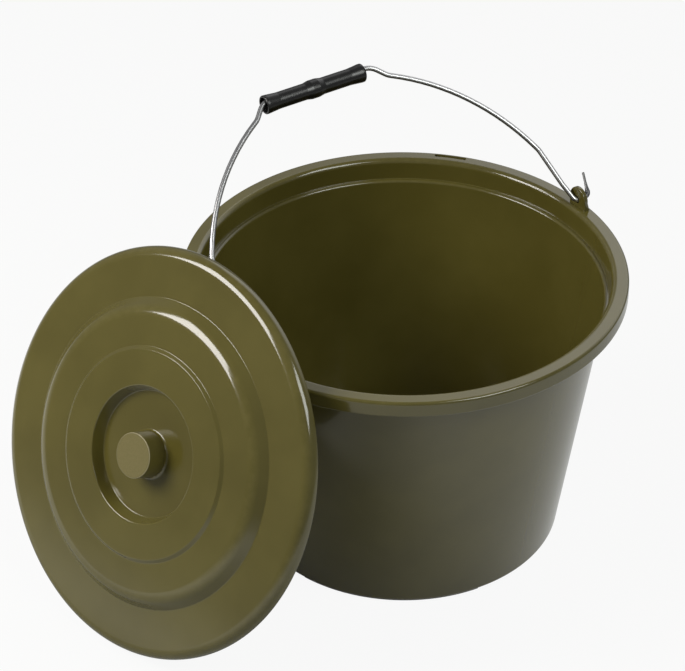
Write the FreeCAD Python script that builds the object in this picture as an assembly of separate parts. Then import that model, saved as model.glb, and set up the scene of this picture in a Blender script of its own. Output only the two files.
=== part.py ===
"""Round bucket with a rolled rim, a wire bail with a loose grip, and a lid that leans beside it.

Millimetres, +Z up. The origin is on the floor under the middle of the bucket.
"""
import FreeCAD, Part
import math
import os
from FreeCAD import Placement, Rotation, Vector

# Bucket shell, moulded in one piece
rim_diameter = 376.0
bucket_height = 249.0
floor_diameter = 268.8
shell_wall = 2.2
floor_corner_round = 1.3
rim_width = 14.2
rim_skirt_height = 13.4
rim_outer_round = 2.4
rim_inner_round = 4.5

# Collar inside the rim and the ledge that the lid sits on
collar_depth = 18.5
collar_draft = 2.0
ledge_width = 3.8
ledge_round = 2.4
ledge_corner_round = 0.4

# Foot ring under the floor, broken into arcs
foot_height = 1.2
foot_width = 7.0
foot_setback = 1.8
foot_count = 3
foot_arc_share = 0.5625
foot_azimuth = -94.5

# Ears that carry the bail
ear_azimuth = 34.2
ear_width = 21.0
ear_height = 18.4
ear_wall = 4.0
ear_root_wall = 6.0
ear_root_height = 7.0
ear_setback = 8.8
ear_edge_round = 0.8
ear_sink = 1.2

# Slot in the top of the rim
slot_azimuth = 77.6
slot_length = 28.0
slot_width = 3.6
slot_edge_distance = 2.8

# Bail: one bent wire, drawn in its own plane
wire_diameter = 4.4
bail_axis_height = 7.0
bail_lean = 50.0
grip_run_height = 170.4
grip_run_length = 107.6
grip_run_offset = -3.3
shoulder_reach = 12.0
shoulder_round = 16.0
bow_round_share = 0.94
leg_top_round = 14.0
hook_round = 5.0
hook_taper_length = 6.0
hook_tip_diameter = 2.2
ear_hole_clearance = 0.8

# Legs of the bail, alike from the knee down
knee_setback = 15.6
knee_height = 17.0
knee_round = 20.0
ankle_setback = 10.9
ankle_round = 3.5

# Right half of the bail
right_shoulder_drop = 11.8
right_bow_bulge_share = 0.187
right_leg_top_setback = 22.0
right_leg_top_height = 52.5
right_hook_overhang = 3.3
right_hook_height = 20.5
right_hook_lean = 5.2

# Left half of the bail
left_shoulder_drop = 13.1
left_bow_bulge_share = 0.151
left_leg_top_setback = 28.3
left_leg_top_height = 60.0
left_hook_overhang = 2.0
left_hook_height = 16.0

# Grip: a plastic tube, loose on the wire
grip_length = 98.4
grip_diameter = 14.4
grip_band_diameter = 16.4
grip_band_length = 7.0
grip_band_slope = 5.0
grip_end_diameter = 16.4
grip_end_length = 2.5
grip_end_slope = 11.0
grip_bore_diameter = 11.0
grip_mouth_diameter = 13.2
grip_mouth_depth = 7.0
grip_edge_round = 0.9
grip_blend_round = 6.0
grip_offset = -3.7
grip_hang_clearance = 0.3

# Lid, moulded in one piece with its knob
lid_collar_clearance = 1.3
lid_wall = 2.2
lid_depth = 11.5
lid_edge_round = 9.0
lid_step_diameter = 258.0
lid_step_height = 10.0
lid_step_slope = 9.6
lid_step_foot_round = 1.0
lid_step_top_round = 14.0
lid_panel_diameter = 179.0
lid_panel_height = 2.2
lid_panel_slope = 2.9
lid_panel_round = 0.8
lid_well_diameter = 114.0
lid_well_depth = 10.2
lid_well_slope = 4.2
lid_well_round = 1.2
knob_diameter = 37.8
knob_height = 20.0
knob_draft = 0.4
knob_edge_round = 0.8
knob_root_round = 2.0

# Where the lid leans
lid_facing = -133.5
lid_lean = 24.38
lid_rim_clearance = 2.6
lid_side_shift = -52.6

# Extra length of a cutting tool past the face that it cuts
overrun = 2.0

# Sizes that follow
rim_radius = rim_diameter / 2
floor_radius = floor_diameter / 2
floor_top = foot_height + shell_wall
ledge_top = bucket_height - collar_depth
collar_top_radius = rim_radius - rim_width
collar_radius = collar_top_radius - collar_draft
ledge_radius = collar_radius - ledge_width
wall_slope = (ledge_radius - floor_radius) / (ledge_top - floor_top)
bail_axis_z = bucket_height + bail_axis_height
ear_inner_reach = rim_radius - ear_setback
wire_radius = wire_diameter / 2
lid_radius = collar_radius - lid_collar_clearance
full_turn = 360.0
half_turn = full_turn / 2
across = Vector(1, 0, 0)
upright = Vector(0, 0, 1)
middle = Vector(0, 0, 0)


def towards(start, end):
    """Unit vector from one point to another."""
    step = end - start
    return step.multiply(1 / step.Length)


def rounded_edges(points, radii):
    """Straight runs through the points, with a tangent arc of the given radius at each inner one."""
    edges = []
    last = points[0]
    for before, corner, after, radius in zip(points, points[1:], points[2:], radii):
        arrive = towards(before, corner)
        leave = towards(corner, after)
        turn = arrive.getAngle(leave)
        reach = radius * math.tan(turn / 2)
        start = corner - arrive * reach
        end = corner + leave * reach
        edges.append(Part.LineSegment(last, start).toShape())
        if radius > 0:
            inward = towards(arrive, leave)
            bulge = corner + inward * (radius / math.cos(turn / 2) - radius)
            edges.append(Part.Arc(start, bulge, end).toShape())
        last = end
    edges.append(Part.LineSegment(last, points[-1]).toShape())
    return edges


def right_of(direction):
    """Direction turned a quarter clockwise in the XZ plane."""
    return Vector(direction.z, 0, -direction.x)


def moved_right(points, distance):
    """Path beside another in the XZ plane, with its corners mitred."""
    beside = [points[0] + right_of(towards(points[0], points[1])) * distance]
    for before, corner, after in zip(points, points[1:], points[2:]):
        arrive = right_of(towards(before, corner))
        leave = right_of(towards(corner, after))
        bisector = arrive + leave
        beside.append(corner + bisector * (2 * distance / bisector.Length ** 2))
    beside.append(points[-1] + right_of(towards(points[-2], points[-1])) * distance)
    return beside


def turns_left(before, corner, after):
    """True where a path in the XZ plane turns anticlockwise."""
    return right_of(towards(before, corner)).dot(towards(corner, after)) < 0


def turned_wall(outline, radii, thickness):
    """Wall of even thickness, turned about Z.

    The outline runs from the axis outwards on the upper side. The wall lies on its right, and its
    free edge is a half round.
    """
    points = [Vector(radius, 0, height) for radius, height in outline]
    under = moved_right(points, thickness)
    under_radii = []
    for before, corner, after, radius in zip(points, points[1:], points[2:], radii):
        if turns_left(before, corner, after):
            under_radii.append(radius + thickness)
        else:
            under_radii.append(max(radius - thickness, 0))
    tip = (points[-1] + under[-1]) * 0.5 + towards(points[-2], points[-1]) * (thickness / 2)
    edges = rounded_edges(points, radii)
    edges.append(Part.Arc(points[-1], tip, under[-1]).toShape())
    edges += rounded_edges(under[::-1], under_radii[::-1])
    edges.append(Part.LineSegment(under[0], points[0]).toShape())
    section = Part.Face(Part.Wire(Part.__sortEdges__(edges)))
    return section.revolve(middle, upright, full_turn)


def polygon(points):
    """Flat face with straight sides."""
    return Part.Face(Part.makePolygon(points + points[:1]))


def ring_arc(corners, start, sweep):
    """Part of a ring: a straight-sided section in the XZ plane, turned about Z by an angle."""
    section = polygon([Vector(radius, 0, height) for radius, height in corners])
    section.rotate(middle, upright, start)
    return section.revolve(middle, upright, sweep)


def outer_wall_radius(height):
    """Radius of the bucket's outer face at a height."""
    return floor_radius + wall_slope * (height - floor_top) + shell_wall * math.hypot(1, wall_slope)


def foot_arcs():
    """Arcs of the foot ring, a little inside the wall and sunk into the floor."""
    rim = outer_wall_radius(0) - foot_setback
    top = foot_height + shell_wall / 2
    corners = [(rim - foot_width, 0), (rim, 0), (rim, top), (rim - foot_width, top)]
    pitch = full_turn / foot_count
    sweep = pitch * foot_arc_share
    start = foot_azimuth - sweep / 2
    return [ring_arc(corners, start + pitch * number, sweep) for number in range(foot_count)]


def ear():
    """Round-topped plate on the rim, thicker at its outer root, on the +X side."""
    half = ear_width / 2
    bottom = bucket_height - ear_sink
    shoulder = bucket_height + ear_height - half
    inner = ear_inner_reach
    outline = [
        Part.LineSegment(Vector(inner, -half, bottom), Vector(inner, half, bottom)).toShape(),
        Part.LineSegment(Vector(inner, half, bottom), Vector(inner, half, shoulder)).toShape(),
        Part.Arc(
            Vector(inner, half, shoulder),
            Vector(inner, 0, shoulder + half),
            Vector(inner, -half, shoulder),
        ).toShape(),
        Part.LineSegment(Vector(inner, -half, shoulder), Vector(inner, -half, bottom)).toShape(),
    ]
    plate = Part.Face(Part.Wire(outline)).extrude(across * ear_wall)
    top_edges = [edge for edge in plate.Edges if edge.Curve.TypeId == "Part::GeomCircle"]
    plate = plate.makeFillet(ear_edge_round, top_edges)
    outer = inner + ear_wall
    root = polygon([
        Vector(outer - ear_wall / 2, -half, bottom),
        Vector(inner + ear_root_wall, -half, bottom),
        Vector(inner + ear_root_wall, -half, bucket_height),
        Vector(outer, -half, bucket_height + ear_root_height),
        Vector(outer - ear_wall / 2, -half, bucket_height + ear_root_height),
    ])
    plate = plate.fuse(root.extrude(Vector(0, ear_width, 0)))
    hole = Part.makeCylinder(
        wire_radius + ear_hole_clearance,
        ear_root_wall + 2 * overrun,
        Vector(inner - overrun, 0, bail_axis_z),
        across,
    )
    return plate.cut(hole)


def rim_slot():
    """Cutter for the slot through the rim's top."""
    outer = rim_radius - slot_edge_distance
    bottom = bucket_height - shell_wall - overrun
    top = bucket_height + overrun
    sweep = math.degrees(slot_length / (outer - slot_width / 2))
    corners = [(outer - slot_width, bottom), (outer, bottom), (outer, top), (outer - slot_width, top)]
    return ring_arc(corners, slot_azimuth - sweep / 2, sweep)


def bucket_shell():
    """Floor, tapered wall, ledge, collar and rolled rim, with the feet, the ears and the slot."""
    outline = [
        (0, floor_top),
        (floor_radius, floor_top),
        (ledge_radius, ledge_top),
        (collar_radius, ledge_top),
        (collar_top_radius, bucket_height),
        (rim_radius, bucket_height),
        (rim_radius, bucket_height - rim_skirt_height + shell_wall / 2),
    ]
    radii = [floor_corner_round, ledge_round, ledge_corner_round, rim_inner_round, rim_outer_round]
    shell = turned_wall(outline, radii, shell_wall)
    ears = []
    for side in (0, half_turn):
        one = ear()
        one.rotate(middle, upright, ear_azimuth + side)
        ears.append(one)
    shell = shell.multiFuse(foot_arcs() + ears)
    return shell.cut(rim_slot()).removeSplitter()


def bow_corner(leg_top, shoulder, bulge_share):
    """Corner between a leg's top and a shoulder, and the radius that rounds it to the bow."""
    chord = shoulder - leg_top
    corner = (leg_top + shoulder) * 0.5 + Vector(chord.z, 0, -chord.x) * bulge_share
    radius = bow_round_share * (corner - leg_top).Length / (2 * bulge_share)
    return corner.x, corner.z, radius


def bail_half(side, shoulder_drop, bulge_share, leg_top, hook, tip):
    """Corner points and radii of one half of the bail, from the grip's run to the hook's tip."""
    run_end = grip_run_length / 2 + side * grip_run_offset
    shoulder = Vector(run_end + shoulder_reach, 0, grip_run_height - shoulder_drop)
    corners = [
        (run_end, grip_run_height, shoulder_round),
        (shoulder.x, shoulder.z, shoulder_round),
        bow_corner(leg_top, shoulder, bulge_share),
        (leg_top.x, leg_top.z, leg_top_round),
        (rim_radius - knee_setback, knee_height, knee_round),
        (rim_radius - ankle_setback, 0, ankle_round),
        (hook, 0, hook_round),
        (*tip, 0),
    ]
    points = [Vector(side * reach, 0, height) for reach, height, _ in corners]
    return points, [radius for _, _, radius in corners]


def right_half():
    """The half of the bail in the nearer ear. Its hook leans out."""
    leg_top = Vector(rim_radius - right_leg_top_setback, 0, right_leg_top_height)
    hook = rim_radius + right_hook_overhang
    tip = (hook + right_hook_lean, right_hook_height)
    return bail_half(1, right_shoulder_drop, right_bow_bulge_share, leg_top, hook, tip)


def left_half():
    """The half of the bail behind the lid. Its hook is short and upright."""
    leg_top = Vector(rim_radius - left_leg_top_setback, 0, left_leg_top_height)
    hook = rim_radius + left_hook_overhang
    tip = (hook, left_hook_height)
    return bail_half(-1, left_shoulder_drop, left_bow_bulge_share, leg_top, hook, tip)


def bail_placement():
    """Leans the bail back about its pivot line, turns it to the ears and lifts it to them."""
    lean = Rotation(across, -bail_lean)
    turn = Rotation(upright, ear_azimuth)
    return Placement(Vector(0, 0, bail_axis_z), turn.multiply(lean))


def hook_tip(start, end):
    """Wire drawn thinner along the straight end of a hook."""
    run = end - start
    tip_radius = hook_tip_diameter / 2
    section = polygon([
        Vector(0, 0, 0),
        Vector(wire_radius, 0, 0),
        Vector(tip_radius, 0, hook_taper_length),
        Vector(tip_radius, 0, run.Length),
        Vector(0, 0, run.Length),
    ])
    tip = section.revolve(middle, upright, full_turn)
    tip.Placement = Placement(start, Rotation(upright, run))
    return tip


def bail_wire():
    """Round wire swept along the bail's line from hook to hook, with a thin tip at each."""
    left, left_radii = left_half()
    right, right_radii = right_half()
    radii = (left_radii[::-1] + right_radii)[1:-1]
    edges = rounded_edges(left[::-1] + right, radii)
    path = Part.Wire(edges[1:-1])
    bend = edges[1]
    first = bend.FirstParameter
    ring = Part.makeCircle(wire_radius, bend.valueAt(first), bend.tangentAt(first))
    wire = path.makePipeShell([Part.Wire(ring)], True, False)
    straight_volume = math.pi * wire_radius ** 2 * path.Length
    print("bail wire volume over section times length", wire.Volume / straight_volume)
    left_end = edges[0].valueAt(edges[0].LastParameter)
    right_end = edges[-1].valueAt(edges[-1].FirstParameter)
    wire = wire.multiFuse([hook_tip(left_end, left[-1]), hook_tip(right_end, right[-1])])
    wire.Placement = bail_placement()
    return wire


def bail_grip():
    """Flared tube with a raised band, hanging with the wire near the top of its bore."""
    half = grip_length / 2
    band = grip_band_length / 2
    end = half - grip_end_length
    half_outline = [
        (band, grip_band_diameter / 2, grip_blend_round / 2),
        (band + grip_band_slope, grip_diameter / 2, grip_blend_round),
        (end - grip_end_slope, grip_diameter / 2, grip_blend_round),
        (end, grip_end_diameter / 2, grip_end_length / 2),
        (half, grip_end_diameter / 2, grip_edge_round),
        (half, grip_mouth_diameter / 2, 0),
        (half - grip_mouth_depth, grip_bore_diameter / 2, 0),
    ]
    corners = [(-place, radius, rounding) for place, radius, rounding in reversed(half_outline)]
    corners += half_outline
    points = [Vector(place, 0, radius) for place, radius, _ in corners]
    radii = [rounding for _, _, rounding in corners]
    edges = rounded_edges(points, radii[1:-1])
    edges.append(Part.LineSegment(points[-1], points[0]).toShape())
    grip = Part.Face(Part.Wire(edges)).revolve(middle, across, full_turn)
    run = bail_placement().multVec(Vector(grip_run_offset + grip_offset, 0, grip_run_height))
    drop = grip_bore_diameter / 2 - wire_radius - grip_hang_clearance
    centre = run - upright * drop
    grip.Placement = Placement(centre, Rotation(upright, ear_azimuth))
    print("grip axis at", centre, "along", Rotation(upright, ear_azimuth).multVec(across))
    return grip


def lid():
    """Stepped dish with a short skirt and a hollow knob.

    It leans with the foot of its skirt on the floor, and the plane of its skirt's edge is a
    clearance away from the nearest point of the rim.
    """
    step_radius = lid_step_diameter / 2
    panel_radius = lid_panel_diameter / 2
    well_radius = lid_well_diameter / 2
    knob_radius = knob_diameter / 2
    panel_top = lid_step_height + lid_panel_height
    well_floor = panel_top - lid_well_depth
    knob_end = well_floor + knob_height
    outline = [
        (0, knob_end),
        (knob_radius, knob_end),
        (knob_radius + knob_draft, well_floor),
        (well_radius - lid_well_slope, well_floor),
        (well_radius, panel_top),
        (panel_radius - lid_panel_slope, panel_top),
        (panel_radius, lid_step_height),
        (step_radius - lid_step_slope, lid_step_height),
        (step_radius, 0),
        (lid_radius, 0),
        (lid_radius, lid_wall / 2 - lid_depth),
    ]
    radii = [
        knob_edge_round,
        knob_root_round,
        lid_well_round,
        lid_well_round,
        lid_panel_round,
        lid_panel_round,
        lid_step_top_round,
        lid_step_foot_round,
        lid_edge_round,
    ]
    dish = turned_wall(outline, radii, lid_wall)
    lean = math.radians(lid_lean)
    rise = math.sin(lean)
    level = math.cos(lean)
    height = (lid_radius - lid_wall / 2) * level + (lid_depth - lid_wall / 2) * rise + lid_wall / 2
    rim_reach = rim_radius * level + bucket_height * rise
    reach = (rim_reach + lid_rim_clearance + lid_depth - height * rise) / level
    quarter_turn = full_turn / 4
    facing = Rotation(upright, lid_facing)
    centre = facing.multVec(Vector(reach, lid_side_shift, height))
    turn = facing.multiply(Rotation(Vector(0, 1, 0), quarter_turn - lid_lean))
    dish.Placement = Placement(centre, turn)
    print("lid centre", centre, "faces along", turn.multVec(upright))
    return dish


os.makedirs("parts", exist_ok=True)
nodes = {
    "bucket_shell": bucket_shell(),
    "bail_wire": bail_wire(),
    "bail_grip": bail_grip(),
    "lid": lid(),
}
for name, shape in nodes.items():
    shape.exportStep("parts/" + name + ".step")
    state = "valid" if shape.isValid() else "not valid"
    print(name, len(shape.Solids), "solid", state, round(shape.Volume))
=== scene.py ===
# %% [markdown]
# # A bucket with its lid and its wire bail
# This lesson dresses a imported CAD model for a studio picture. The real object is four pieces: a bucket
# moulded in olive plastic, a lid of the same plastic, a bent wire, and a black grip that turns on the
# wire. The CAD model gives every place and size, so the first step loads it.

# %% Load the frame
import bmesh
import bpy
import math
import numpy as np
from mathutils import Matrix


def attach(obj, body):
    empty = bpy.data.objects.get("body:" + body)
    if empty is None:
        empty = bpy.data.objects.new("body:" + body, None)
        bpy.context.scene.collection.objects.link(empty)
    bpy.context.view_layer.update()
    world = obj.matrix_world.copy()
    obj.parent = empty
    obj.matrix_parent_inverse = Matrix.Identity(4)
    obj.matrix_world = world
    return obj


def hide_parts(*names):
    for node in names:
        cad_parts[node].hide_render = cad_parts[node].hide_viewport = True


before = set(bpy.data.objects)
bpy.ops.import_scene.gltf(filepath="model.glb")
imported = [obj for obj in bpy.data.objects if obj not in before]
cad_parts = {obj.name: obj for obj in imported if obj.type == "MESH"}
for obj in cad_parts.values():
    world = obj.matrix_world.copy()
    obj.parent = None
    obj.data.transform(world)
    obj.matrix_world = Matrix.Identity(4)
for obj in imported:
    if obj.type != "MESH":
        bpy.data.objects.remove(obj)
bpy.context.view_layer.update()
MM = 0.001

# %% [markdown]
# ## The camera
# The picture was taken from well above and far away, so the verticals hardly lean together. A long lens
# at about 2.7 m gives the same ellipses. The angles were found by fitting the rim, the ledge and the base.

# %% Camera
SENSOR_WIDTH, LENS, FAR_CLIP = 36.0, 157.664, 50.0
CAMERA_PLACE = (0.0, -2.08440, 1.66583)
CAMERA_TURN = (54.5361, 0.1521, 1.3366)

camera_data = bpy.data.cameras.new("camera")
camera_data.sensor_width = SENSOR_WIDTH
camera_data.lens = LENS
camera_data.clip_end = FAR_CLIP
camera = bpy.data.objects.new("camera", camera_data)
camera.location = CAMERA_PLACE
camera.rotation_euler = [math.radians(angle) for angle in CAMERA_TURN]
bpy.context.scene.collection.objects.link(camera)
bpy.context.scene.camera = camera
bpy.context.scene.view_settings.view_transform = "Standard"
print("camera at", tuple(camera.location))

# %% [markdown]
# ## Paths with rounded corners
# A moulded wall is a line with rounded corners. One could draw it as a curve object and bevel it, but
# numpy keeps every point in the script's hands. A corner of radius r is replaced by an arc that is
# tangent to both runs: it starts r times the tangent of half the turn before the corner. The long runs
# get a point close to each end, so that smooth shading stays flat between the arcs.

# %% Straight runs
def unit(vectors):
    """Each vector divided by its own length."""
    return vectors / np.linalg.norm(vectors, axis=-1, keepdims=True)


def run_places(length, step, guard=0.5):
    """Places along a straight run, as shares of it: even steps, and one close to each end."""
    count = max(int(length / step), 1)
    places = np.linspace(0.0, 1.0, count + 1)
    near = min(guard / max(length, guard), 0.25)
    return np.unique(np.concatenate([places, [near, 1.0 - near]]))


print("a run of 24 mm has points at the shares", run_places(24.0, 12.0))

# %% Rounded corners
TINY = 1e-6


def corner_arc(start, arrive, turn, radius, turn_step):
    """Arc that leaves a run at its start and turns by an angle, to the left where that is positive.

    Each point lies the radius times the sine of its own angle along the run, and the radius times one
    less the cosine to the side. The second result is 0 at both ends of the arc and 1 in its middle.
    """
    count = max(int(math.degrees(abs(turn)) / turn_step), 2)
    angles = np.linspace(0.0, turn, count + 1)[:-1]
    side = np.array([-arrive[1], arrive[0]]) * np.sign(turn)
    along = np.sin(np.abs(angles))[:, None] * arrive
    inward = (1.0 - np.cos(angles))[:, None] * side
    return start + radius * (along + inward), np.sin(np.linspace(0.0, np.pi, count + 1))[:-1]


def rounded(corners, run_step=12.0, turn_step=9.0):
    """Path through corners (x, y, radius) with a tangent arc at each inner one.

    Returns the path and how far each of its points is into an arc, which is 0 on a straight run.
    """
    corners = np.asarray(corners, float)
    points, radii = corners[:, :2], corners[1:-1, 2]
    path, bend = [], []
    last = points[0]
    for before, corner, after, radius in zip(points, points[1:], points[2:], radii):
        arrive, leave = unit(corner - before), unit(after - corner)
        cross = arrive[0] * leave[1] - arrive[1] * leave[0]
        turn = math.atan2(cross, float(arrive @ leave))
        reach = radius * math.tan(abs(turn) / 2)
        start = corner - arrive * reach
        places = run_places(np.linalg.norm(start - last), run_step)[:-1]
        path.append(last + (start - last) * places[:, None])
        bend.append(np.zeros(len(places)))
        if radius > 0 and abs(turn) > TINY:
            arc, arc_bend = corner_arc(start, arrive, turn, radius, turn_step)
            path.append(arc)
            bend.append(arc_bend)
        last = corner + leave * reach
    places = run_places(np.linalg.norm(points[-1] - last), run_step)
    path.append(last + (points[-1] - last) * places[:, None])
    bend.append(np.zeros(len(places)))
    return np.concatenate(path), np.concatenate(bend)


print("a square corner of radius 2 has", len(rounded([[0, 0, 0], [9, 0, 2], [9, 9, 0]])[0]), "points")

# %% Even walls
LIP_SPARE = 1e-4


def moved_right(points, distance):
    """Path beside another, its corners mitred.

    Each corner moves by the sum of its two side normals, times twice the distance over the square of
    that sum's length.
    """
    steps = unit(np.diff(points, axis=0))
    sides = np.stack([steps[:, 1], -steps[:, 0]], 1)
    both = sides[:-1] + sides[1:]
    inner = points[1:-1] + both * (2 * distance / (both ** 2).sum(1, keepdims=True))
    return np.concatenate([points[:1] + sides[:1] * distance, inner, points[-1:] + sides[-1:] * distance])


def wall_profile(outline, thickness):
    """Section of an even wall from the axis out along its upper side and back along its under side.

    The outline holds corners (r, z, radius). On the under side, a corner that turns left grows by the
    thickness and any other shrinks by it. The free lip is rounded by a hair less than half the wall.
    """
    outline = np.asarray(outline, float)
    upper, radii = outline[:, :2], outline[1:-1, 2]
    steps = np.diff(upper, axis=0)
    turns = steps[:-1, 0] * steps[1:, 1] - steps[:-1, 1] * steps[1:, 0]
    under_radii = np.where(turns > 0, radii + thickness, np.maximum(radii - thickness, 0.0))
    under_radii[radii == 0] = 0.0
    lip = [thickness / 2 - LIP_SPARE] * 2
    points = np.concatenate([upper, moved_right(upper, thickness)[::-1]])
    all_radii = np.concatenate([[0.0], radii, lip, under_radii[::-1], [0.0]])
    return rounded(np.column_stack([points, all_radii]))


plate, _ = wall_profile([(0, 0, 0), (50, 0, 2), (50, 9, 0)], 2.0)
print("a plate with a raised edge has a section of", len(plate), "points")

# %% [markdown]
# ## From grids to meshes
# Each surface is a grid of points. Its faces join neighbours in the grid, and a closed direction joins
# the last row to the first. Points that fall together, as at a pole, are merged, and the faces are then
# turned outwards. Every piece is told which CAD body it rides on and which finish it takes.

# %% Grids
def grid_faces(rows, columns, wrap_rows=False, wrap_columns=True):
    """Four corners of each face of a grid, as index rows."""
    row = np.arange(rows if wrap_rows else rows - 1)[:, None]
    column = np.arange(columns if wrap_columns else columns - 1)[None, :]
    next_row, next_column = (row + 1) % rows, (column + 1) % columns
    corners = [row * columns + column, row * columns + next_column]
    corners += [next_row * columns + next_column, next_row * columns + column]
    return np.stack([np.broadcast_to(corner, (row.size, column.size)) for corner in corners], -1)


def turned(profile, angles):
    """Surface of revolution: each profile point (r, z) goes to r cos a, r sin a, z."""
    r, z = profile[:, 0, None], profile[:, 1, None]
    return np.stack([r * np.cos(angles), r * np.sin(angles), np.broadcast_to(z, (len(z), len(angles)))], -1)


def full_circle(count):
    """Even angles once round, without the last."""
    return np.arange(count) * (2 * np.pi / count)


def repeat_columns(values, count):
    """One value per grid row, repeated along the row."""
    return np.repeat(np.asarray(values, float)[:, None], count, 1)


print("a grid of 3 by 4 points has", grid_faces(3, 4).reshape(-1, 4).shape[0], "faces")

# %% Pieces
MERGE, SLIVER = 2e-6, 1e-7
SHARP = math.radians(38.0)


def close_seams(mesh):
    """Merges points that fall together, drops faces without area and turns the faces outwards."""
    shape = bmesh.new()
    shape.from_mesh(mesh)
    bmesh.ops.remove_doubles(shape, verts=shape.verts, dist=MERGE)
    bmesh.ops.dissolve_degenerate(shape, edges=shape.edges, dist=SLIVER)
    bmesh.ops.recalc_face_normals(shape, faces=shape.faces)
    shape.to_mesh(mesh)
    shape.free()


def add_piece(name, points, faces, body, slot, material, **marks):
    """Mesh piece from points in millimetres. Each mark becomes a point attribute of its name."""
    mesh = bpy.data.meshes.new(name)
    mesh.from_pydata((points.reshape(-1, 3) * MM).tolist(), [], faces.reshape(-1, 4).tolist())
    for mark_name, values in marks.items():
        values = np.asarray(values, np.float32)
        kind, key = ("FLOAT_VECTOR", "vector") if values.shape[-1:] == (3,) else ("FLOAT", "value")
        mesh.attributes.new(mark_name, kind, "POINT").data.foreach_set(key, values.ravel())
    close_seams(mesh)
    mesh.shade_smooth()
    mesh.set_sharp_from_angle(angle=SHARP)
    mesh.materials.append(material)
    piece = bpy.data.objects.new(name, mesh)
    bpy.context.scene.collection.objects.link(piece)
    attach(piece, body)
    print(name, len(mesh.vertices), "points", len(mesh.polygons), "faces")
    return piece


print("points closer than", MERGE, "m are merged")

# %% [markdown]
# ## Shader maths in plain Python
# A finish is easiest to read as a sum. This class wraps a socket, so that `0.3 + 0.1 * clouds` adds the
# Math nodes by itself. Every other node comes from `make`, which sets the node up first and then fills
# its sockets.

# %% Sockets as numbers
class Signal:
    """A shader socket that can be added, multiplied and fed to other nodes."""

    def __init__(self, tree, socket=None):
        self.tree, self.socket = tree, socket

    def make(self, kind, settings=None, inputs=None, output=0):
        """New node of a kind, with its settings made first and then its sockets' values or links."""
        node = self.tree.nodes.new(kind)
        for name, value in (settings or {}).items():
            setattr(node, name, value)
        for name, value in (inputs or {}).items():
            if isinstance(value, Signal):
                self.tree.links.new(value.socket, node.inputs[name])
            else:
                node.inputs[name].default_value = value
        return Signal(self.tree, node.outputs[output] if node.outputs else None)

    def sibling(self, output):
        """Another output of the node that this value comes from."""
        return Signal(self.tree, self.socket.node.outputs[output])

    def maths(self, operation, first, second):
        """Math node on two values or numbers."""
        return self.make("ShaderNodeMath", {"operation": operation}, {0: first, 1: second})

    def __add__(self, other):
        return self.maths("ADD", self, other)

    __radd__ = __add__

    def __sub__(self, other):
        return self.maths("SUBTRACT", self, other)

    def __rsub__(self, other):
        return self.maths("SUBTRACT", other, self)

    def __mul__(self, other):
        return self.maths("MULTIPLY", self, other)

    __rmul__ = __mul__

    def step(self, low, high):
        """0 below one value, 1 above another, smooth between."""
        settings = {"interpolation_type": "SMOOTHSTEP", "clamp": True}
        return self.make("ShaderNodeMapRange", settings, {"Value": self, "From Min": low, "From Max": high})

    def blend(self, low, high):
        """Colour that goes from one to another as this value goes from 0 to 1."""
        colours = {6: low if isinstance(low, Signal) else (*low, 1.0)}
        colours[7] = high if isinstance(high, Signal) else (*high, 1.0)
        return self.make("ShaderNodeMix", {"data_type": "RGBA"}, {0: self, **colours}, 2)


print("sockets can be added and multiplied")

# %% Shader helpers
BUMP_DEPTH = 0.0003


def new_finish(name):
    """New material with an empty node tree, and a Signal to make its nodes from."""
    material = bpy.data.materials.new(name)
    material.use_nodes = True
    material.node_tree.nodes.clear()
    return material, Signal(material.node_tree)


def coordinates(start):
    """The piece's own place in space, in metres."""
    return start.make("ShaderNodeTexCoord", output="Object")


def noise(start, place, scale, detail=2.0, roughness=0.5):
    """Cloudy values about one half, with features of about one over the scale in metres."""
    inputs = {"Vector": place, "Scale": scale, "Detail": detail, "Roughness": roughness}
    return start.make("ShaderNodeTexNoise", None, inputs, "Fac")


def mark(start, name):
    """A number that the mesh carries at its points."""
    return start.make("ShaderNodeAttribute", {"attribute_name": name}, output="Fac")


def bumps(start, height, strength, depth=BUMP_DEPTH):
    """Normal of a surface with a fine relief, as deep as the depth in metres."""
    return start.make("ShaderNodeBump", None, {"Strength": strength, "Distance": depth, "Height": height})


def surface(start, **inputs):
    """Principled shader on the material's output; underscores in the names stand for spaces."""
    inputs = {name.replace("_", " "): value for name, value in inputs.items()}
    shader = start.make("ShaderNodeBsdfPrincipled", None, inputs)
    start.make("ShaderNodeOutputMaterial", None, {"Surface": shader})


print("shader helpers ready")

# %% [markdown]
# ## Olive plastic
# Bucket and lid are polypropylene, smooth and glossy from a polished mould. The colour is nearly even,
# with faint flow clouds, a fine grain in the gloss, and rounded edges painted a little paler in patches,
# partly as wear from handling and partly as a painted highlight.
# A low roughness alone would give crisp bright lines without the soft glow round them, so a thin clear
# coat on the shader gives the lines, and the rougher base below it the glow. The knob is the one matt
# place: its end is etched and lighter, and a painted highlight runs pale round its end's edge. The mesh
# marks these places, so that the finish knows where they are.

# %% Olive plastic
OLIVE_DEEP = (0.104, 0.088, 0.018)
OLIVE_PALE = (0.124, 0.106, 0.024)
# Paler colour for the rounded edges, partly rubbed wear and partly a painted highlight; it is also the low
# end of the etched knob's pits.
OLIVE_EDGE = (0.155, 0.134, 0.040)
OLIVE_ETCHED = (0.185, 0.153, 0.056)
# Painted highlight: the pale colour laid all round the knob's end edge.
OLIVE_PAINTED_HIGHLIGHT = (0.34, 0.30, 0.17)
CLOUD_SCALE, GRAIN_SCALE, RUB_SCALE, PIT_SCALE = 14.0, 1400.0, 120.0, 700.0
COAT, COAT_ROUGHNESS, PLASTIC_IOR = 0.5, 0.05, 1.52


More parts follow.
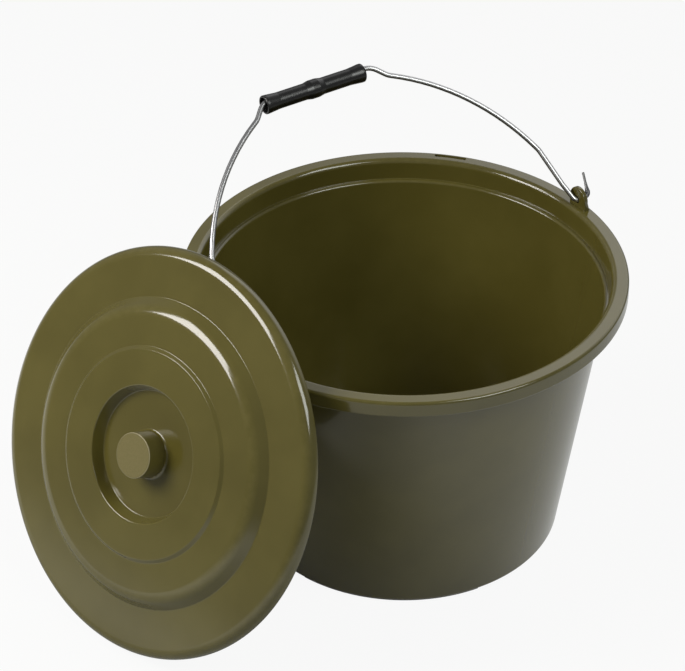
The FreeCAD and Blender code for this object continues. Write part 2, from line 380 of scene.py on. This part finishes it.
def olive_plastic(name, with_knob=False):
    """Olive plastic with flow clouds, edges paler from wear and a painted highlight, and a matt, etched
    knob with a painted highlight round its end where marked.
    """
    material, start = new_finish(name)
    place = coordinates(start)
    clouds = noise(start, place, CLOUD_SCALE, 3.0)
    grain = noise(start, place, GRAIN_SCALE, 1.0)
    rubs = noise(start, place, RUB_SCALE, 4.0, 0.65)
    # Rounded edges are painted paler in patches: partly rubbed wear, partly a painted highlight.
    edge = mark(start, "edge") * rubs.step(0.35, 0.75)
    colour = clouds.step(0.3, 0.7).blend(OLIVE_DEEP, OLIVE_PALE)
    colour = (0.45 * edge).blend(colour, OLIVE_EDGE)
    roughness = 0.10 + 0.05 * clouds + 0.05 * grain - 0.03 * edge
    height, coat = grain, COAT
    if with_knob:
        etched, matt = mark(start, "etched"), mark(start, "matt")
        pits = noise(start, place, PIT_SCALE, 3.0)
        colour = etched.blend(colour, pits.step(0.2, 0.8).blend(OLIVE_EDGE, OLIVE_ETCHED))
        # Painted highlight: the knob's end edge is painted pale all round.
        colour = mark(start, "painted_knob_highlight").blend(colour, OLIVE_PAINTED_HIGHLIGHT)
        roughness = roughness + 0.25 * matt
        coat = COAT - 0.45 * matt
        height = grain + 4.0 * etched * pits
    shine = {"IOR": PLASTIC_IOR, "Coat_Weight": coat, "Coat_Roughness": COAT_ROUGHNESS}
    surface(start, Base_Color=colour, Roughness=roughness, Normal=bumps(start, height, 0.05), **shine)
    return material


bucket_plastic = olive_plastic("bucket_olive_plastic")
lid_plastic = olive_plastic("lid_olive_plastic", with_knob=True)
print("olive plastics ready")

# %% [markdown]
# ## The bucket's shell
# The shell is one moulded wall: floor, tapered side, a ledge for the lid, a collar, a flat rim and a
# short skirt that hangs from it. It is a lathe shape, so its section is turned about the Z axis. The slot
# in the rim is not round. A Boolean modifier could cut it, but the faces round it would come out uneven.
# Instead the angles are chosen to have its ends among them, the faces over it are left out, and four
# strips of wall close it between the rim's top and its under side.

# %% Bucket sizes
RIM_RADIUS, BUCKET_HEIGHT, WALL = 188.0, 249.0, 2.2
FOOT_HEIGHT, FLOOR_RADIUS = 1.2, 134.4
FLOOR_TOP = FOOT_HEIGHT + WALL
LEDGE_TOP = BUCKET_HEIGHT - 18.5
COLLAR_TOP_RADIUS = RIM_RADIUS - 14.2
COLLAR_RADIUS = COLLAR_TOP_RADIUS - 2.0
LEDGE_RADIUS = COLLAR_RADIUS - 3.8
SKIRT_END = BUCKET_HEIGHT - 13.4
FLOOR_ROUND, LEDGE_ROUND, LEDGE_CORNER_ROUND = 1.3, 2.4, 0.4
RIM_INNER_ROUND, RIM_OUTER_ROUND = 4.5, 2.4
SLOT_OUTER, SLOT_INNER = RIM_RADIUS - 2.8, RIM_RADIUS - 6.4
SLOT_MIDDLE, SLOT_LENGTH = math.radians(77.6), 28.0
SLOT_STEPS, REST_STEPS = 10, 259
print("the bucket is", BUCKET_HEIGHT, "mm high and", 2 * RIM_RADIUS, "mm wide")

# %% Bucket wall
outline = [
    (0.0, FLOOR_TOP, 0.0),
    (FLOOR_RADIUS, FLOOR_TOP, FLOOR_ROUND),
    (LEDGE_RADIUS, LEDGE_TOP, LEDGE_ROUND),
    (COLLAR_RADIUS, LEDGE_TOP, LEDGE_CORNER_ROUND),
    (COLLAR_TOP_RADIUS, BUCKET_HEIGHT, RIM_INNER_ROUND),
    (SLOT_INNER, BUCKET_HEIGHT, 0.0),
    (SLOT_OUTER, BUCKET_HEIGHT, 0.0),
    (RIM_RADIUS, BUCKET_HEIGHT, RIM_OUTER_ROUND),
    (RIM_RADIUS, SKIRT_END, 0.0),
]
profile, bend = wall_profile(outline, WALL)
slot_half = SLOT_LENGTH / (SLOT_OUTER + SLOT_INNER)
slot_start, slot_end = SLOT_MIDDLE - slot_half, SLOT_MIDDLE + slot_half
over_slot = np.linspace(slot_start, slot_end, SLOT_STEPS + 1)
elsewhere = np.linspace(slot_end, slot_start + 2 * np.pi, REST_STEPS + 1)
angles = np.concatenate([over_slot, elsewhere[1:-1]])
points = turned(profile, angles)
faces = grid_faces(*points.shape[:2])
print("the shell's section has", len(profile), "points and goes round in", len(angles), "steps")


# %% Slot in the rim
def row_at(radius, height):
    """Profile row that lies at a radius and a height."""
    return int(np.argmin(np.hypot(profile[:, 0] - radius, profile[:, 1] - height)))


top = row_at(SLOT_INNER, BUCKET_HEIGHT), row_at(SLOT_OUTER, BUCKET_HEIGHT)
under = row_at(SLOT_OUTER, BUCKET_HEIGHT - WALL), row_at(SLOT_INNER, BUCKET_HEIGHT - WALL)
keep = np.ones(faces.shape[:2], bool)
keep[top[0]:top[1], :SLOT_STEPS] = False
keep[under[0]:under[1], :SLOT_STEPS] = False
index = np.arange(points.shape[0] * points.shape[1]).reshape(points.shape[:2])
strips = []
for upper, lower in ((top[0], under[1]), (top[1], under[0])):
    strips.append(np.stack([index[upper, :SLOT_STEPS + 1], index[lower, :SLOT_STEPS + 1]]))
for column in (0, SLOT_STEPS):
    strips.append(np.stack([index[top[0]:top[1] + 1, column], index[under[0]:under[1] + 1, column][::-1]]))
slot_walls = [np.stack([s[0, :-1], s[0, 1:], s[1, 1:], s[1, :-1]], -1) for s in strips]
faces = np.concatenate([faces[keep], *slot_walls])
edge = repeat_columns(bend, len(angles))
shell = add_piece("bucket_wall", points, faces, "bucket", "olive_plastic", bucket_plastic, edge=edge)
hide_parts("bucket_shell")

# %% [markdown]
# ## The foot ring
# Under the floor stands a low ring, broken into three arcs, which carries the bucket. A turned ring could
# be cut into arcs, but it is simpler to carry a small section round part of a circle. It stands a little
# inside the wall and is sunk into the floor, so no gap shows. The two ends of an arc are closed by
# drawing the section together to its middle.

# %% Foot section
WALL_SLOPE = (LEDGE_RADIUS - FLOOR_RADIUS) / (LEDGE_TOP - FLOOR_TOP)
FOOT_COUNT, FOOT_SHARE, FOOT_WIDTH, FOOT_ROUND = 3, 0.5625, 7.0, 0.3
FOOT_AZIMUTH, FOOT_SETBACK, FOOT_STEPS = math.radians(-94.5), 1.8, 64

wall_outside = FLOOR_RADIUS - WALL_SLOPE * FLOOR_TOP + WALL * math.hypot(1, WALL_SLOPE)
foot_edge = wall_outside - FOOT_SETBACK
foot_top = FOOT_HEIGHT + WALL / 2
section, bend = rounded([
    (foot_edge - FOOT_WIDTH, foot_top, 0.0),
    (foot_edge - FOOT_WIDTH, 0.0, FOOT_ROUND),
    (foot_edge, 0.0, FOOT_ROUND),
    (foot_edge, foot_top, 0.0),
    (foot_edge - FOOT_WIDTH, foot_top, 0.0),
], run_step=4.0)
section, bend = section[:-1], bend[:-1]
print("the foot ring is", round(2 * foot_edge, 1), "mm wide")


# %% Foot arcs
def foot_arc(number):
    """One arc of the ring: the section at even angles, and drawn together at both ends."""
    pitch = 2 * np.pi / FOOT_COUNT
    angles = FOOT_AZIMUTH + number * pitch + np.linspace(-0.5, 0.5, FOOT_STEPS + 1) * pitch * FOOT_SHARE
    angles = np.concatenate([angles[:1], angles, angles[-1:]])
    pull = np.ones(len(angles))
    pull[[0, -1]] = 0.0
    middle = section.mean(0)
    r = middle[0] + (section[:, 0, None] - middle[0]) * pull
    z = middle[1] + (section[:, 1, None] - middle[1]) * pull
    return np.stack([r * np.cos(angles), r * np.sin(angles), z], -1)


arcs = np.stack([foot_arc(number) for number in range(FOOT_COUNT)])
rows, columns = arcs.shape[1:3]
arc_faces = grid_faces(rows, columns, wrap_rows=True, wrap_columns=False).reshape(-1, 4)
faces = arc_faces + np.arange(FOOT_COUNT)[:, None, None] * (rows * columns)
edge = np.stack([repeat_columns(bend, columns)] * FOOT_COUNT)
add_piece("foot_arcs", arcs, faces, "bucket", "olive_plastic", bucket_plastic, edge=edge)

# %% [markdown]
# ## The ears
# Two round-topped plates stand on the rim and carry the bail. A plate with a hole is a ring, so it needs
# no Boolean modifier. Its surface is a grid that is closed both ways: once round the hole, and once round
# the section through the wall of the ring. Each ray from the hole's middle gives the distance to the
# plate's outline, and the section runs from the hole to that outline and back. Towards the root the outer
# face stands out a little.

# %% Ear outline
EAR_AZIMUTH = math.radians(34.2)
EAR_WIDTH, EAR_HEIGHT, EAR_WALL, EAR_SINK = 21.0, 18.4, 4.0, 1.2
EAR_ROOT, EAR_ROOT_HEIGHT, EAR_INNER, EAR_ROUND = 2.0, 7.0, RIM_RADIUS - 8.8, 0.8
PIVOT_RISE, WIRE_RADIUS, HOLE_CLEARANCE = 7.0, 2.2, 0.8
EAR_RAYS, EAR_FACE_STEPS, EAR_ROUND_STEPS = 120, 6, 4
NO_SLOPE = 1e-9


def ear_reach(angle):
    """Distance from the hole's middle to the plate's outline along a ray.

    The outline is two upright sides, a round top and a foot: the nearest of the lines that the ray
    meets, or the round where the ray ends above the round's middle.
    """
    across, up = np.cos(angle), np.sin(angle)
    half = EAR_WIDTH / 2
    centre = EAR_HEIGHT - half - PIVOT_RISE
    side = half / np.maximum(np.abs(across), NO_SLOPE)
    foot_line = (PIVOT_RISE + EAR_SINK) / np.maximum(-up, NO_SLOPE)
    dome = up * centre + np.sqrt(half ** 2 - (across * centre) ** 2)
    reach = np.where(up > 0, side, np.minimum(side, foot_line))
    return np.where((reach * up > centre) & (up > 0), dome, reach)


print("the ear's top is", round(float(ear_reach(np.pi / 2)), 1), "mm above the hole's middle")

# %% Ears
hole = WIRE_RADIUS + HOLE_CLEARANCE
angles = full_circle(EAR_RAYS)
reach = ear_reach(angles)
quarter = np.linspace(0.0, np.pi / 2, EAR_ROUND_STEPS + 1)[1:]
shares = np.linspace(0.0, 1.0, EAR_FACE_STEPS + 1)
face = hole + (reach - hole - EAR_ROUND) * shares[:, None]
front = np.concatenate([face, reach - (EAR_ROUND * (1 - np.sin(quarter)))[:, None]])
front_inset = np.concatenate([np.zeros(len(shares)), EAR_ROUND * (1 - np.cos(quarter))])
distance = np.concatenate([front, front[::-1]])
inset = np.concatenate([front_inset, front_inset[::-1]])
height = PIVOT_RISE + distance * np.sin(angles)
along = distance * np.cos(angles)
root = EAR_ROOT * np.clip(1 - height / EAR_ROOT_HEIGHT, 0.0, 1.0)
on_outer_face = np.arange(len(distance))[:, None] < len(front)
out = EAR_INNER + np.where(on_outer_face, EAR_WALL + root - inset[:, None], inset[:, None])
faces = grid_faces(*distance.shape, wrap_rows=True)
edge = repeat_columns(inset > 0, len(angles))
for name, azimuth in (("ear_right", EAR_AZIMUTH), ("ear_left", EAR_AZIMUTH + np.pi)):
    c, s = math.cos(azimuth), math.sin(azimuth)
    points = np.stack([out * c - along * s, out * s + along * c, BUCKET_HEIGHT + height], -1)
    add_piece(name, points, faces, "bucket", "olive_plastic", bucket_plastic, edge=edge)

# %% [markdown]
# ## Bright wire
# The bail is drawn steel wire with a thin bright plating. Drawing leaves fine lines along the wire, so
# the roughness follows a noise that is stretched along the length. The mesh carries its own place on the
# wire for that: the two numbers of the angle round it, and the length along it. The hooks outside the
# ears are marked, and there the wire is darker and duller.

# %% Bright wire
WIRE_BRIGHT, WIRE_DULL, WIRE_DARK_HOOK = (0.62, 0.62, 0.63), (0.45, 0.45, 0.45), (0.20, 0.20, 0.20)
WIRE_TINT = (0.2, 0.2, 0.2, 1.0)
LINE_SCALE, SPOT_SCALE, LINE_DEPTH = 3.0, 260.0, 0.0002


def bright_wire(name):
    """Plated steel with drawing lines along the wire, a few dull spots, and darker, duller hooks where
    marked.
    """
    material, start = new_finish(name)
    lay = start.make("ShaderNodeAttribute", {"attribute_name": "lay"}, output="Vector")
    lines = noise(start, lay, LINE_SCALE, 1.0)
    spots = noise(start, coordinates(start), SPOT_SCALE, 4.0, 0.6).step(0.55, 0.8)
    # The hooks outside the ears are made darker and duller.
    dark_hook = mark(start, "dark_hook")
    colour = dark_hook.blend(spots.blend(WIRE_BRIGHT, WIRE_DULL), WIRE_DARK_HOOK)
    roughness = 0.28 + 0.08 * lines + 0.06 * spots + 0.14 * dark_hook
    relief = bumps(start, lines, 0.03, LINE_DEPTH)
    metal = {"Metallic": 1.0, "Specular_Tint": WIRE_TINT}
    surface(start, Base_Color=colour, Roughness=roughness, Normal=relief, **metal)
    return material


wire_metal = bright_wire("bright_wire")
print("wire finish ready")

# %% [markdown]
# ## The bail
# One length of wire is bent in a single plane: a hook, a pin through the ear, a leg, a bow, a shoulder,
# the straight run under the hand, and the same back again. The line is the rounded path through its
# corners. A bevelled curve object could make the tube. Here it is a circle carried along the line, turned
# by the path's own side direction and the plane's normal, because the grid can also carry the marks of
# the finish. It gets thinner towards the tips of the hooks, and its two cut ends are drawn together to a
# slightly rounded face.

# %% Bail sizes
BAIL_LEAN = math.radians(50.0)
RUN_HEIGHT, RUN_LENGTH, RUN_OFFSET = 170.4, 107.6, -3.3
RIGHT_DROP, LEFT_DROP, SHOULDER_REACH, SHOULDER_ROUND = 11.8, 13.1, 12.0, 16.0
RIGHT_BULGE, LEFT_BULGE, BOW_SHARE = 0.187, 0.151, 0.94
LEG_TOP_ROUND, HOOK_ROUND, HOOK_TAPER, HOOK_TIP, HOOK_DARK_REACH = 14.0, 5.0, 6.0, 1.1, 24.0
KNEE, ANKLE = (RIM_RADIUS - 15.6, 17.0, 20.0), (RIM_RADIUS - 10.9, 0.0, 3.5)
# Each row of a leg is one corner: its place across, its height over the pivot, and its round.
RIGHT_LEG = [
    (RIM_RADIUS - 22.0, 52.5, LEG_TOP_ROUND),
    KNEE,
    ANKLE,
    (RIM_RADIUS + 3.3, 0.0, HOOK_ROUND),
    (RIM_RADIUS + 8.5, 20.5, 0.0),
]
LEFT_LEG = [
    (RIM_RADIUS - 28.3, 60.0, LEG_TOP_ROUND),
    KNEE,
    ANKLE,
    (RIM_RADIUS + 2.0, 0.0, HOOK_ROUND),
    (RIM_RADIUS + 2.0, 16.0, 0.0),
]

UP = np.array([0.0, 0.0, 1.0])
bail_across = np.array([math.cos(EAR_AZIMUTH), math.sin(EAR_AZIMUTH), 0.0])
bail_back = np.array([-math.sin(EAR_AZIMUTH), math.cos(EAR_AZIMUTH), 0.0])
bail_up = bail_back * math.sin(BAIL_LEAN) + UP * math.cos(BAIL_LEAN)
bail_normal = np.cross(bail_across, bail_up)
pivot = UP * (BUCKET_HEIGHT + PIVOT_RISE)
print("the bail turns about", pivot, "along", bail_across.round(3))


# %% Bail line
def bail_half(side, shoulder_drop, bulge, leg):
    """Corners of one half of the bail as (across, up, radius), from the run to the hook's tip.

    The bow is one arc. Its corner stands off the middle of the chord from leg top to shoulder by a
    share of the chord, and its radius is the distance to the leg's top over the tangent of half the turn.
    """
    end = RUN_LENGTH / 2 + side * RUN_OFFSET
    shoulder = np.array([end + SHOULDER_REACH, RUN_HEIGHT - shoulder_drop])
    leg_top = np.array(leg[0][:2])
    chord = shoulder - leg_top
    corner = (leg_top + shoulder) / 2 + np.array([chord[1], -chord[0]]) * bulge
    bow_round = BOW_SHARE * np.linalg.norm(corner - leg_top) / (2 * bulge)
    run_end = (end, RUN_HEIGHT, SHOULDER_ROUND)
    return np.array([run_end, (*shoulder, SHOULDER_ROUND), (*corner, bow_round), *leg]) * (side, 1, 1)


left_half = bail_half(-1, LEFT_DROP, LEFT_BULGE, LEFT_LEG)
right_half = bail_half(1, RIGHT_DROP, RIGHT_BULGE, RIGHT_LEG)
line, _ = rounded(np.concatenate([left_half[::-1], right_half]), run_step=4.0, turn_step=2.5)
apart = np.linalg.norm(np.diff(line, axis=0), axis=1) > TINY
line = line[np.concatenate([[True], apart])]
tangent = unit(np.gradient(line, axis=0))
side = np.stack([-tangent[:, 1], tangent[:, 0]], 1)
length = np.concatenate([[0.0], np.cumsum(np.linalg.norm(np.diff(line, axis=0), axis=1))])
from_right_end = length[-1] - length
print("wire length", round(float(length[-1])), "mm")


# %% Bail thickness
def straight_end(half):
    """Length of the straight end of a hook: its last run less the reach of the bend before it."""
    before, bend, tip = half[-3:, :2]
    arrive, leave = unit(bend - before), unit(tip - bend)
    return np.linalg.norm(tip - bend) - HOOK_ROUND * math.tan(math.acos(float(arrive @ leave)) / 2)


left_taper = (straight_end(left_half) - length) / HOOK_TAPER
right_taper = (straight_end(right_half) - from_right_end) / HOOK_TAPER
taper = np.clip(np.maximum(left_taper, right_taper), 0.0, 1.0)
thickness = WIRE_RADIUS + (HOOK_TIP - WIRE_RADIUS) * taper
# Marks the hooks outside the ears, where the wire is made darker and duller.
dark_hook = np.clip((HOOK_DARK_REACH - np.minimum(length, from_right_end)) / WIRE_RADIUS, 0.0, 1.0)
print("the wire's radius goes from", thickness.min(), "to", thickness.max(), "mm")

# %% Bail tube
CUT_PULL, CUT_PUSH = np.array([0.0, 0.75, 0.94]), np.array([0.2, 0.15, 0.08])
WIRE_SIDES, LAY_STRETCH = 24, 0.02

first, last = np.zeros(len(CUT_PULL), int), np.full(len(CUT_PULL), len(line) - 1)
rows = np.concatenate([first, np.arange(len(line)), last])
radius = np.concatenate([CUT_PULL, np.ones(len(line)), CUT_PULL[::-1]]) * thickness[rows]
push = np.concatenate([-CUT_PUSH, np.zeros(len(line)), CUT_PUSH[::-1]])
angles = full_circle(WIRE_SIDES)
centre = line[rows] + tangent[rows] * push[:, None]
flat = centre[:, None, :] + (radius[:, None] * np.cos(angles))[..., None] * side[rows][:, None, :]
off = radius[:, None] * np.sin(angles)
points = pivot + flat[..., :1] * bail_across + flat[..., 1:] * bail_up + off[..., None] * bail_normal
round_it = np.broadcast_arrays(np.cos(angles), np.sin(angles), length[rows][:, None] * LAY_STRETCH)
marks = {"lay": np.stack(round_it, -1), "dark_hook": repeat_columns(dark_hook[rows], len(angles))}
wire = add_piece("bail_tube", points, grid_faces(*points.shape[:2]), "bail", "wire", wire_metal, **marks)
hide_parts("bail_wire")

# %% [markdown]
# ## Black grip
# The grip is a black plastic tube that turns under the hand, so its gloss is uneven where it has been
# rubbed. It is a lathe shape about its own bore, with flared ends and a band in the middle, and it hangs
# on the wire by the upper side of the bore. Half of its outline is written down, and the other half
# mirrors it, which keeps both ends alike.

# %% Black plastic
BLACK_DEEP, BLACK_RUBBED = (0.004, 0.004, 0.004), (0.011, 0.011, 0.011)
RUBBED_SCALE, BLACK_IOR = 90.0, 1.65


def black_plastic(name):
    """Glossy black plastic, duller where a hand has rubbed it."""
    material, start = new_finish(name)
    rubbed = noise(start, coordinates(start), RUBBED_SCALE, 4.0, 0.6)
    colour = rubbed.step(0.35, 0.8).blend(BLACK_DEEP, BLACK_RUBBED)
    roughness = 0.25 + 0.08 * rubbed
    relief = bumps(start, rubbed, 0.05)
    surface(start, Base_Color=colour, Roughness=roughness, Normal=relief, IOR=BLACK_IOR)
    return material


grip_plastic = black_plastic("black_plastic")
print("grip finish ready")

# %% Grip
GRIP_HALF, GRIP_RADIUS, BAND_RADIUS, END_RADIUS = 49.2, 7.2, 8.2, 8.2
BAND_HALF, BAND_FOOT, FLARE_START, FLARE_END, MOUTH_DEPTH = 3.5, 8.5, 13.5, 2.5, 7.0
BORE_RADIUS, MOUTH_RADIUS, GRIP_HANG, GRIP_SHIFT = 5.5, 6.6, 0.3, -3.7
GRIP_SIDES = 64

# Each row is one corner: its place along the grip, its radius from the bore's axis, and its round.
half_outline = np.array([
    (BAND_HALF, BAND_RADIUS, 3.0),
    (BAND_FOOT, GRIP_RADIUS, 6.0),
    (GRIP_HALF - FLARE_START, GRIP_RADIUS, 6.0),
    (GRIP_HALF - FLARE_END, END_RADIUS, 1.25),
    (GRIP_HALF, END_RADIUS, 0.9),
    (GRIP_HALF, MOUTH_RADIUS, 0.4),
    (GRIP_HALF - MOUTH_DEPTH, BORE_RADIUS, 0.0),
])
other_way = (-1, 1, 1)
outline = np.concatenate([half_outline[::-1] * other_way, half_outline, half_outline[-1:] * other_way])
profile, _ = rounded(outline, run_step=6.0)
profile = profile[:-1]
angles = full_circle(GRIP_SIDES)
grip_centre = pivot + bail_across * (RUN_OFFSET + GRIP_SHIFT) + bail_up * RUN_HEIGHT
grip_centre = grip_centre - UP * (BORE_RADIUS - WIRE_RADIUS - GRIP_HANG)
ring = np.cos(angles)[:, None] * bail_back + np.sin(angles)[:, None] * UP
points = grip_centre + profile[:, None, :1] * bail_across + profile[:, None, 1:] * ring
faces = grid_faces(*points.shape[:2], wrap_rows=True)
grip = add_piece("grip_tube", points, faces, "grip", "grip_plastic", grip_plastic)
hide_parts("bail_grip")

# %% [markdown]
# ## The lid
# The lid is another turned wall: a knob in a well, two flat steps, an outer ring and a short skirt. It
# could be turned about its leaning axis at once, but lying flat its numbers are plain radii and heights.
# So it is worked out flat and then set into the place where it leans: its skirt's foot on the floor and
# its face to the front left. The knob is marked for its matt side, its etched end and the painted
# highlight round its end's edge.

# %% Lid section
LID_RADIUS, LID_WALL, LID_DEPTH, LID_EDGE_ROUND = COLLAR_RADIUS - 1.3, 2.2, 11.5, 9.0
KNOB_RADIUS, KNOB_DRAFT, KNOB_END, KNOB_ROUND, KNOB_ROOT_ROUND = 18.9, 0.4, 22.0, 0.8, 2.0
WELL_FLOOR, WELL_FOOT, WELL_EDGE, WELL_ROUND = 2.0, 52.8, 57.0, 1.2
PANEL_TOP, PANEL_RADIUS, STEP_TOP, STEP_START, PANEL_ROUND = 12.2, 86.6, 10.0, 89.5, 0.8
STEP_RADIUS, STEP_FOOT, STEP_ROUND, STEP_FOOT_ROUND = 119.4, 129.0, 14.0, 1.0

outline = [
    (0.0, KNOB_END, 0.0),
    (KNOB_RADIUS, KNOB_END, KNOB_ROUND),
    (KNOB_RADIUS + KNOB_DRAFT, WELL_FLOOR, KNOB_ROOT_ROUND),
    (WELL_FOOT, WELL_FLOOR, WELL_ROUND),
    (WELL_EDGE, PANEL_TOP, WELL_ROUND),
    (PANEL_RADIUS, PANEL_TOP, PANEL_ROUND),
    (STEP_START, STEP_TOP, PANEL_ROUND),
    (STEP_RADIUS, STEP_TOP, STEP_ROUND),
    (STEP_FOOT, 0.0, STEP_FOOT_ROUND),
    (LID_RADIUS, 0.0, LID_EDGE_ROUND),
    (LID_RADIUS, -LID_DEPTH, 0.0),
]
profile, bend = wall_profile(outline, LID_WALL)
print("the lid's section has", len(profile), "points")

# %% Knob marks
ETCHED_EDGE, ETCHED_DEPTH, PAINTED_HIGHLIGHT_DEPTH, MATT_FOOT = 1.2, 0.1, 1.0, 2.0

r, z = profile.T
etched = (r < KNOB_RADIUS - ETCHED_EDGE) & (z > KNOB_END - ETCHED_DEPTH)
matt = (r < KNOB_RADIUS + KNOB_DRAFT) & (z > WELL_FLOOR + MATT_FOOT)
# Painted highlight: the rows at the knob's end edge, which are painted pale.
painted_knob_highlight = bend * (r > KNOB_RADIUS - ETCHED_EDGE) * (z > KNOB_END - PAINTED_HIGHLIGHT_DEPTH)
print("rows etched", etched.sum(), "matt", matt.sum(), "painted_knob_highlight", (painted_knob_highlight > 0).sum())

# %% Lid
LID_LEAN, LID_FACING = math.radians(24.38), math.radians(-133.5)
LID_RIM_GAP, LID_SIDE, LID_STEPS = 2.6, -52.6, 288

rise, level = math.sin(LID_LEAN), math.cos(LID_LEAN)
half_wall = LID_WALL / 2
height = (LID_RADIUS - half_wall) * level + (LID_DEPTH - half_wall) * rise + half_wall
reach = (RIM_RADIUS * level + BUCKET_HEIGHT * rise + LID_RIM_GAP + LID_DEPTH - height * rise) / level
outward = np.array([math.cos(LID_FACING), math.sin(LID_FACING), 0.0])
lid_side = np.array([-math.sin(LID_FACING), math.cos(LID_FACING), 0.0])
lid_normal = outward * level + UP * rise
lid_up = np.cross(lid_normal, lid_side)
lid_centre = outward * reach + lid_side * LID_SIDE + UP * height
local = turned(profile, full_circle(LID_STEPS))
points = lid_centre + local[..., :1] * lid_side + local[..., 1:2] * lid_up + local[..., 2:] * lid_normal
faces = grid_faces(*points.shape[:2])
row_marks = {"edge": bend, "etched": etched, "painted_knob_highlight": painted_knob_highlight, "matt": matt}
marks = {name: repeat_columns(values, LID_STEPS) for name, values in row_marks.items()}
lid = add_piece("lid_dish", points, faces, "lid", "olive_plastic", lid_plastic, **marks)
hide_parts("lid")

# %% [markdown]
# ## Floor and light
# The studio is white. The floor is pale and keeps a soft shadow, and to the camera it is mixed with plain
# white, as the world is, so that the picture's ground is white without more light on the object. Gloss
# shows the same paper, dimmer far away and close by on the left, where the lid shades it. A soft glow
# behind the object, brighter on the right, gives the rim its grey sheen. Two soft boxes light the object:
# the key at the left draws the bright lines along the lid's upper edges, and the fill stands high at the
# right front.

# %% Floor
FLOOR_PALE = (0.62, 0.64, 0.61, 1.0)
FLOOR_HALF, FLOOR_DROP = 4.0, 0.0004
PAPER_SEEN, PAPER_MIRRORED = 0.92, 0.5

floor_mesh = bpy.data.meshes.new("floor")
square = np.array([(-1, -1, 0), (1, -1, 0), (1, 1, 0), (-1, 1, 0)]) * FLOOR_HALF - (0, 0, FLOOR_DROP)
floor_mesh.from_pydata(square.tolist(), [], [(0, 1, 2, 3)])
floor = bpy.data.objects.new("floor", floor_mesh)
bpy.context.scene.collection.objects.link(floor)
floor_finish, start = new_finish("white_floor")
sees = start.make("ShaderNodeLightPath", output="Is Camera Ray")
mirrored = sees.sibling("Is Glossy Ray")
place = coordinates(start)
away = start.make("ShaderNodeVectorMath", {"operation": "LENGTH"}, {0: place}, "Value")
right = start.make("ShaderNodeSeparateXYZ", None, {0: place}, "X")
shade = (1 - right.step(-0.10, 0.15)) * (1 - away.step(0.3, 0.6))
brightness = sees + mirrored * (0.85 - 0.7 * shade - 0.5 * away.step(0.7, 1.2))
pale = start.make("ShaderNodeBsdfDiffuse", None, {"Color": FLOOR_PALE})
paper = start.make("ShaderNodeEmission", None, {"Color": brightness, "Strength": 1.0})
share = PAPER_SEEN * sees + PAPER_MIRRORED * mirrored
ground = start.make("ShaderNodeMixShader", None, {0: share, 1: pale, 2: paper})
start.make("ShaderNodeOutputMaterial", None, {"Surface": ground})
floor_mesh.materials.append(floor_finish)
print("floor", 2 * FLOOR_HALF, "m wide")

# %% World
WHITE = (1.0, 1.0, 1.0, 1.0)
AMBIENT, BACK_GLOW, SKY_MIRRORED = 0.05, 1.25, 0.14

world = bpy.data.worlds.new("studio")
world.use_nodes = True
world.node_tree.nodes.clear()
bpy.context.scene.world = world
start = Signal(world.node_tree)
sees = start.make("ShaderNodeLightPath", output="Is Camera Ray")
mirrored, passed = sees.sibling("Is Glossy Ray"), sees.sibling("Is Transmission Ray")
way = start.make("ShaderNodeTexCoord", output="Generated")
right = start.make("ShaderNodeSeparateXYZ", None, {0: way}, "X")
back, up = right.sibling("Y"), right.sibling("Z")
backdrop = back.step(0.1, 0.7) * up.step(0.1, 0.4) * (1 - up.step(0.6, 0.85))
backdrop = backdrop * (0.08 + 0.92 * right.step(-0.1, 0.08))
brightness = AMBIENT + BACK_GLOW * backdrop
glow = start.make("ShaderNodeBackground", None, {"Color": brightness, "Strength": 1.0})
paper = start.make("ShaderNodeBackground", None, {"Color": WHITE, "Strength": 1.0})
share = sees + SKY_MIRRORED * mirrored + passed
both = start.make("ShaderNodeMixShader", None, {0: share, 1: glow, 2: paper})
start.make("ShaderNodeOutputWorld", None, {"Surface": both})
print("world glow up to", AMBIENT + BACK_GLOW)

# %% Lamps
AIM = (-0.05, -0.03, 0.15)
KEY_PLACE, KEY_SIZE, KEY_POWER, KEY_COLOUR = (-1.28, -0.28, 1.10), 0.8, 20.0, (1.0, 0.97, 0.93)
FILL_PLACE, FILL_SIZE, FILL_POWER, FILL_COLOUR = (0.99, -0.83, 1.66), 0.9, 14.0, (0.97, 1.0, 0.96)


def soft_box(name, place, size, power, colour):
    """Square area lamp at a place in metres, aimed at the bucket."""
    lamp = bpy.data.lights.new(name, "AREA")
    lamp.shape, lamp.size, lamp.energy, lamp.color = "SQUARE", size, power, colour
    box = bpy.data.objects.new(name, lamp)
    box.location = place
    aim = unit(np.subtract(AIM, place))
    box.rotation_euler = (math.acos(-aim[2]), 0.0, math.atan2(aim[1], aim[0]) - np.pi / 2)
    bpy.context.scene.collection.objects.link(box)
    print(name, size, "m", power, "W")


soft_box("key_box", KEY_PLACE, KEY_SIZE, KEY_POWER, KEY_COLOUR)
soft_box("right_box", FILL_PLACE, FILL_SIZE, FILL_POWER, FILL_COLOUR)
